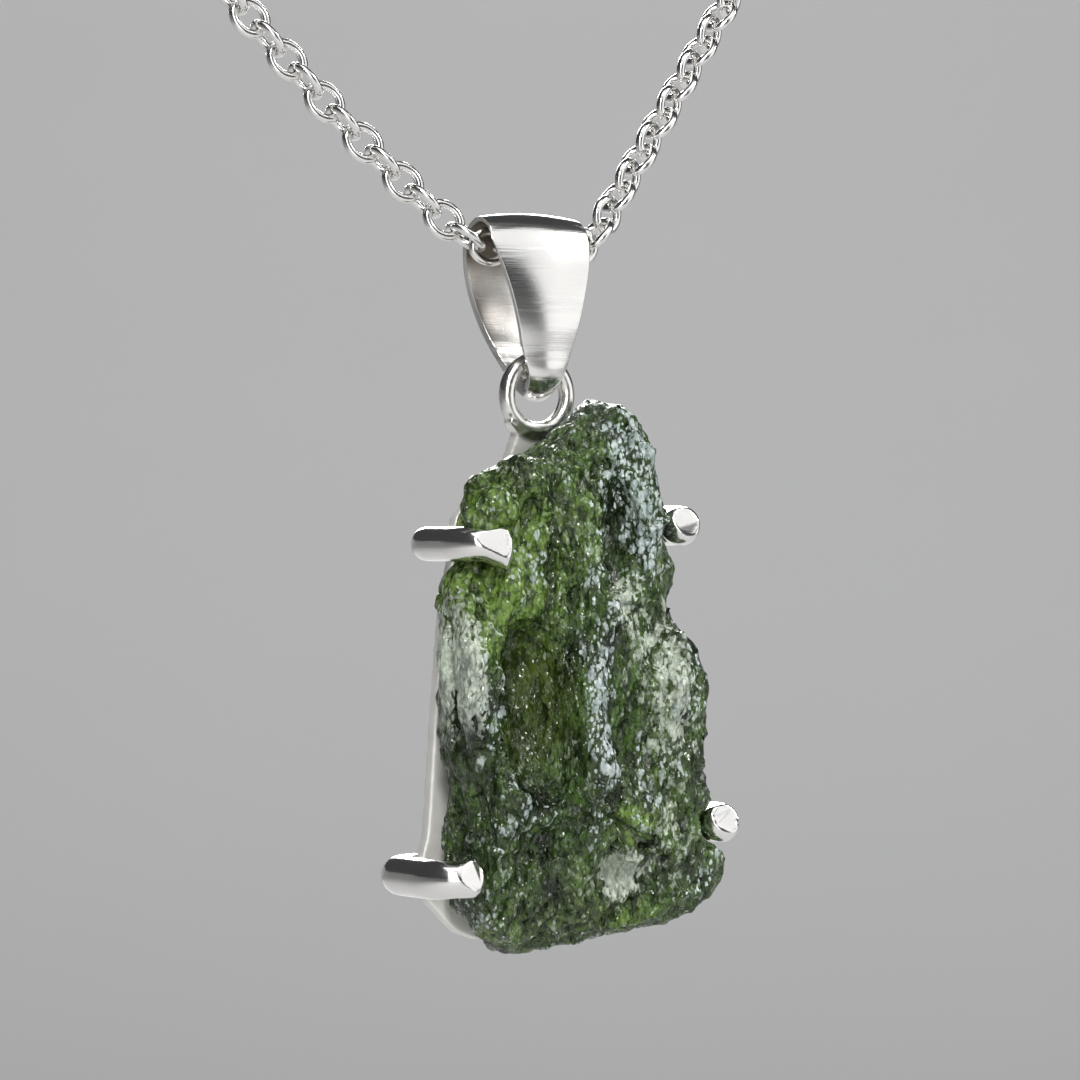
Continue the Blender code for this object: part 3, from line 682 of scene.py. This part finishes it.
def plate_below_neck(name):
    """The flat frame, cut off above its own top bar."""
    plate = merged_copy("setting_frame", name)
    bpy.ops.object.mode_set(mode="EDIT")
    bpy.ops.mesh.select_all(action="SELECT")
    bpy.ops.mesh.bisect(
        plane_co=(0.0, 0.0, NECK_CUT * MM), plane_no=(0.0, 0.0, 1.0), use_fill=True, clear_outer=True
    )
    bpy.ops.object.mode_set(mode="OBJECT")
    return plate


def make_setting(finish):
    """Frame, neck and ring as one casting, its joints filled with solder."""
    plate = plate_below_neck("setting")
    extras = [tapered_neck("neck"), hanging_ring("ring")]
    take(plate)
    for extra in extras:
        extra.select_set(True)
    bpy.ops.object.join()
    voxel_skin(plate, SETTING_VOXEL)
    soften(plate, 0.5, 4)
    shade_round(plate)
    finish_piece(plate, "pendant", ("setting_frame",), finish)
    return plate


# The claws

def select_by(piece, test):
    """Selects the faces of a piece in edit mode whose middle and normal pass a test."""
    shape = bmesh.from_edit_mesh(piece.data)
    bpy.ops.mesh.select_all(action="DESELECT")
    for face in shape.faces:
        face.select_set(bool(test(face.calc_center_median(), face.normal)))
    bmesh.update_edit_mesh(piece.data)


def make_claw(node, plan, finish):
    """A round wire bent forward round the stone's edge and in over its face, its tip filed flat."""
    level, side, root, flank, reach, wire, bend, turn, run = plan
    height = (SWING_HEIGHT - level) * MM
    back = (PENDANT_FORWARD + 0.50) * MM
    inner = (PENDANT_ACROSS + side * (root + 0.03)) * MM
    outer = (PENDANT_ACROSS + side * flank) * MM
    tip_bend = CLAW_TIP_BEND * MM
    tip_start = (PENDANT_FORWARD + CLAW_TIP_BEND - reach) * MM
    drop_selection()
    bpy.ops.mesh.primitive_circle_add(
        vertices=CLAW_CORNERS, radius=wire * MM, fill_type="NGON", location=(inner, back, height),
        rotation=(0.0, math.radians(90.0 * side), 0.0),
    )
    claw = bpy.context.object
    claw.name = node.replace("prong", "claw")
    settle_place(claw)
    bpy.ops.object.mode_set(mode="EDIT")
    bpy.ops.mesh.select_all(action="SELECT")
    bend_start = outer - side * bend * MM
    draw_wire((bend_start - inner, 0.0, 0.0))
    bend_wire((bend_start, back - bend * MM, height), -90.0 * side, 10)
    draw_wire((0.0, tip_start - (back - bend * MM), 0.0))
    bend_wire((outer - side * tip_bend, tip_start, height), -turn * side, 10)
    heading = Vector((-side * math.sin(math.radians(turn)), -math.cos(math.radians(turn)), 0.0))
    if run > 0.0:
        draw_wire(heading * run * MM)
    round_tip(heading, wire * MM)
    bpy.ops.mesh.select_all(action="SELECT")
    bpy.ops.mesh.normals_make_consistent(inside=False)
    bpy.ops.object.mode_set(mode="OBJECT")
    swell_tip(claw, height, outer, side, CLAW_TIPS[node])
    file_tip(claw, wire * MM, CLAW_TIPS[node])
    voxel_skin(claw, CLAW_VOXEL)
    soften(claw, 0.5, 4)
    shade_round(claw)
    finish_piece(claw, "pendant", (node,), finish)
    return claw


def draw_wire(step):
    """Draws the selected end of the wire straight on."""
    bpy.ops.mesh.extrude_region_move(TRANSFORM_OT_translate={"value": step})


def bend_wire(centre, degrees, steps):
    """Draws the selected end of the wire round an upright line through the centre."""
    bpy.ops.mesh.spin(steps=steps, angle=math.radians(-degrees), center=centre, axis=(0.0, 0.0, 1.0))


def round_tip(heading, wire):
    """Closes the wire with a low dome."""
    rings = 6
    reach = 0.0
    width = 1.0
    for ring in range(1, rings + 1):
        angle = math.radians(84.0 * ring / rings)
        draw_wire(heading * (math.sin(angle) - reach) * wire * 0.62)
        bpy.ops.transform.resize(value=(math.cos(angle) / width,) * 3)
        reach = math.sin(angle)
        width = math.cos(angle)


def swell_tip(claw, height, outer, side, tip):
    """Waists the wire a little past the bend and spreads its tip, as pressing it home does."""
    growth, drop, face, depth = tip
    inward = [(outer - vert.co.x) * side for vert in claw.data.vertices]
    front = min(vert.co.y for vert in claw.data.vertices)
    length = max(inward)
    for vert, along in zip(claw.data.vertices, inward):
        ahead = max(0.0, 1.0 - (vert.co.y - front) / (4.0 * MM))
        share = min(1.0, max(0.0, along / (0.75 * length))) * ahead
        size = 1.0 - 0.10 * math.sin(math.pi * share) + (growth - 1.0) * share ** 2
        vert.co.z = height + (vert.co.z - height) * size - drop * MM * share ** 1.5


def file_tip(claw, wire, tip):
    """Files a flat on the front of the tip."""
    growth, drop, face, share = tip
    face = Vector(face).normalized()
    foremost = max((vert.co for vert in claw.data.vertices), key=face.dot).copy()
    take(claw)
    bpy.ops.object.mode_set(mode="EDIT")
    bpy.ops.mesh.select_all(action="SELECT")
    bpy.ops.mesh.bisect(
        plane_co=foremost - face * wire * share, plane_no=face, use_fill=True, clear_outer=True
    )
    bpy.ops.object.mode_set(mode="OBJECT")


# The bail

def facing_in(mesh):
    """How far each point of the bail's strap faces the middle of the loop."""
    place = read_points(mesh, "co") / MM
    middle = np.stack([np.zeros(len(place)), np.full(len(place), PENDANT_FORWARD + 0.98),
                       np.clip(place[:, 2], -4.5, 0.0)], axis=1)
    inward = middle - place
    inward[:, 0] = 0.0
    inward /= np.maximum(np.linalg.norm(inward, axis=1, keepdims=True), 1e-6)
    return place, np.einsum("ij,ij->i", inward, read_points(mesh, "normal"))


def square_edges(bail, width):
    """Carries the inner wall out to the edges, so that the strap's cut edge stands square."""
    place, inward = facing_in(bail.data)
    across = place[:, 0] - PENDANT_ACROSS
    corners = (inward > 0.0) & (np.abs(across) > 0.1)
    place[corners, 0] += np.sign(across[corners]) * width
    bail.data.vertices.foreach_set("co", (place * MM).ravel())
    bail.data.update()


def ease_fold(bail, depth):
    """Hollows the inner wall at the fold, where the ring rolls."""
    place, inward = facing_in(bail.data)
    low = np.clip((-4.9 - place[:, 2]) / 0.6, 0.0, 1.0)
    raise_points(bail.data, -depth * low * np.clip(inward * 2.0, 0.0, 1.0))


def mark_inside(bail):
    """Marks the wall that faces into the loop, darkest under the crown, where the bail's colour is darkened
    as painted shade.
    """
    mesh = bail.data
    place, inward = facing_in(mesh)
    facing = np.clip(inward * 1.6, 0.0, 1.0)
    under_crown = np.clip((place[:, 2] + 2.6) / 2.4, 0.0, 1.0)
    layer = mesh.attributes.new("inside", "FLOAT", "POINT")
    layer.data.foreach_set("value", (facing * under_crown).astype(np.float32))


def make_bail(finish):
    """The tapered loop, its edges eased and its leaves smoothly crowned."""
    bail = merged_copy("bail", "bail_loop")
    square_edges(bail, 0.23)
    ease = bail.modifiers.new("eased edges", "BEVEL")
    ease.limit_method = "ANGLE"
    ease.angle_limit = math.radians(38.0)
    ease.width = 0.05 * MM
    ease.segments = 2
    apply_modifiers(bail)
    subdivide(bail, 3)
    ease_fold(bail, 0.16)
    mark_inside(bail)
    shade_round(bail)
    finish_piece(bail, "bail", ("bail",), finish)
    return bail


# The chain

def link_pattern(name, half_width, half_length, wire):
    """One oval link of round wire, flat on the XY plane with its length along Y."""
    drop_selection()
    bpy.ops.mesh.primitive_torus_add(
        major_segments=40, minor_segments=14, major_radius=half_width, minor_radius=wire
    )
    link = bpy.context.object
    link.name = name
    link.data.name = name
    bpy.ops.object.mode_set(mode="EDIT")
    bpy.ops.mesh.select_all(action="DESELECT")
    stretch = half_length - half_width
    shape = bmesh.from_edit_mesh(link.data)
    for vert in shape.verts:
        vert.co.y += math.copysign(stretch, vert.co.y) * min(1.0, abs(vert.co.y) / half_width)
    bmesh.update_edit_mesh(link.data)
    bpy.ops.object.mode_set(mode="OBJECT")
    return link


def lie_like(node):
    """Where a flat ring-shaped solid lies: its middle and its width, length and thickness."""
    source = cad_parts[node].data
    corners = np.empty(len(source.vertices) * 3)
    source.vertices.foreach_get("co", corners)
    corners = np.unique(corners.reshape(-1, 3).round(8), axis=0)
    middle = (corners.min(axis=0) + corners.max(axis=0)) / 2
    middle = corners.mean(axis=0)
    spread = np.cov((corners - middle).T)
    sizes, axes = np.linalg.eigh(spread)
    thickness, width, length = (Vector(axes[:, spot]) for spot in range(3))
    if width.cross(length).dot(thickness) < 0:
        thickness.negate()
    turn = Matrix((width, length, thickness)).transposed().to_4x4()
    return Matrix.Translation(Vector(middle)) @ turn


def place_copy(pattern, node, name, finish):
    """A copy of the pattern with its own mesh, laid where the solid lies."""
    piece = bpy.data.objects.new(name, pattern.data.copy())
    bpy.context.collection.objects.link(piece)
    piece.data.transform(lie_like(node))
    shade_round(piece)
    finish_piece(piece, "chain", (node,), finish)
    return piece


def make_chain(finish):
    """Every link and both end rings, one modelled link copied to each place."""
    link = link_pattern("link pattern", 0.765 * MM, 0.925 * MM, LINK_WIRE * MM)
    ring = link_pattern("ring pattern", 1.75 * MM, 1.75 * MM, END_RING_WIRE * MM)
    for node in sorted(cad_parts):
        if node.startswith("chain_link"):
            place_copy(link, node, node.replace("chain_link", "link"), finish)
        elif node.startswith("chain_end_ring"):
            place_copy(ring, node, node.replace("chain_", ""), finish)
    for pattern in (link, ring):
        bpy.data.objects.remove(pattern, do_unlink=True)


# Stage, light and camera

def stage_finish(name, shade):
    paper = Finish(name)
    grain = paper.cloud((0.02, 0.02, 0.02), detail=2.0)
    paper.feed(paper.shader.inputs["Base Color"],
               paper.blend(grain, colour(*(shade * 0.98,) * 3), colour(*(shade,) * 3)))
    paper.shader.inputs["Roughness"].default_value = 0.9
    return paper.material


def make_stage():
    """A round pale floor that sweeps up into a low rim all round."""
    drop_selection()
    base = CAD_BOX[0][2] - FLOOR_DROP * MM
    radius, height = FLOOR_SWEEP[0]
    bpy.ops.mesh.primitive_circle_add(vertices=96, radius=radius, fill_type="NGON", location=(0.0, 0.0, base))
    floor = bpy.context.object
    floor.name = "floor"
    settle_place(floor)
    bpy.ops.object.mode_set(mode="EDIT")
    bpy.ops.mesh.select_mode(type="EDGE")
    for wider, higher in FLOOR_SWEEP[1:]:
        draw_rim(floor, wider / radius, higher - height)
        radius, height = wider, higher
    bpy.ops.mesh.select_mode(type="FACE")
    bpy.ops.object.mode_set(mode="OBJECT")
    finer = floor.modifiers.new("smooth sweep", "SUBSURF")
    finer.levels = 2
    finer.render_levels = 2
    apply_modifiers(floor)
    shade_round(floor)
    floor.data.materials.append(stage_finish("pale paper", 0.66))


def draw_rim(floor, growth, up):
    """Draws the open rim outwards and up by one step."""
    bpy.ops.mesh.select_all(action="DESELECT")
    shape = bmesh.from_edit_mesh(floor.data)
    for edge in shape.edges:
        edge.select_set(edge.is_boundary)
    bmesh.update_edit_mesh(floor.data)
    bpy.ops.mesh.extrude_region_move(TRANSFORM_OT_translate={"value": (0.0, 0.0, up)})
    bpy.ops.transform.resize(value=(growth, growth, 1.0))


def softbox(name, place, aim, width, height, power, tint=(1.0, 1.0, 1.0)):
    light = bpy.data.lights.new(name, "AREA")
    light.shape = "RECTANGLE"
    light.size = width
    light.size_y = height
    light.energy = power
    light.color = tint
    lamp = bpy.data.objects.new(name, light)
    lamp.location = place
    lamp.rotation_euler = (Vector(aim) - Vector(place)).to_track_quat("-Z", "Y").to_euler()
    bpy.context.collection.objects.link(lamp)
    return lamp


def make_lights():
    """Two broad soft panels, one at the right front and one overhead, with small lamps for sparkle."""
    middle = (0.0, 0.0, -0.018)
    softbox("panel", (0.40, -0.37, 0.10), middle, 0.46, 0.42, 0.62)
    softbox("high panel", (0.16, -0.34, 0.38), middle, 0.42, 0.26, 0.34)
    softbox("overhead", (-0.05, -0.16, 0.50), middle, 0.38, 0.26, 0.50)
    softbox("left panel", (-0.26, -0.44, 0.08), middle, 0.22, 0.34, 0.50)
    softbox("spark", (-0.20, -0.32, 0.30), middle, 0.08, 0.08, 1.65)
    softbox("right spark", (0.34, -0.20, 0.30), middle, 0.07, 0.07, 0.45)
    softbox("behind", (0.20, 0.36, 0.12), middle, 0.14, 0.14, 1.00)
    softbox("wash", (0.25, 0.35, 0.50), (0.60, 1.00, 0.15), 0.50, 0.30, 2.3)
    world = bpy.data.worlds.new("room")
    world.use_nodes = True
    world.node_tree.nodes["Background"].inputs["Color"].default_value = (0.80, 0.82, 0.85, 1.0)
    world.node_tree.nodes["Background"].inputs["Strength"].default_value = 0.06
    bpy.context.scene.world = world
    bpy.context.scene.view_settings.view_transform = "Standard"


def make_camera():
    lens = bpy.data.cameras.new("camera")
    lens.lens = CAMERA_LENS
    lens.sensor_width = 36.0
    lens.clip_start = 0.01
    lens.clip_end = 20.0
    camera = bpy.data.objects.new("camera", lens)
    camera.location = tuple(value * MM for value in CAMERA_PLACE)
    camera.rotation_euler = (math.radians(90.0), 0.0, math.radians(CAMERA_TURN))
    bpy.context.collection.objects.link(camera)
    bpy.context.scene.camera = camera


def main():
    silver = polished_silver()
    make_stone(moldavite_finish())
    make_setting(satin_silver())
    for node, plan in CLAWS.items():
        make_claw(node, plan, silver)
    make_bail(bail_silver())
    make_chain(silver)
    make_stage()
    make_lights()
    make_camera()


main()
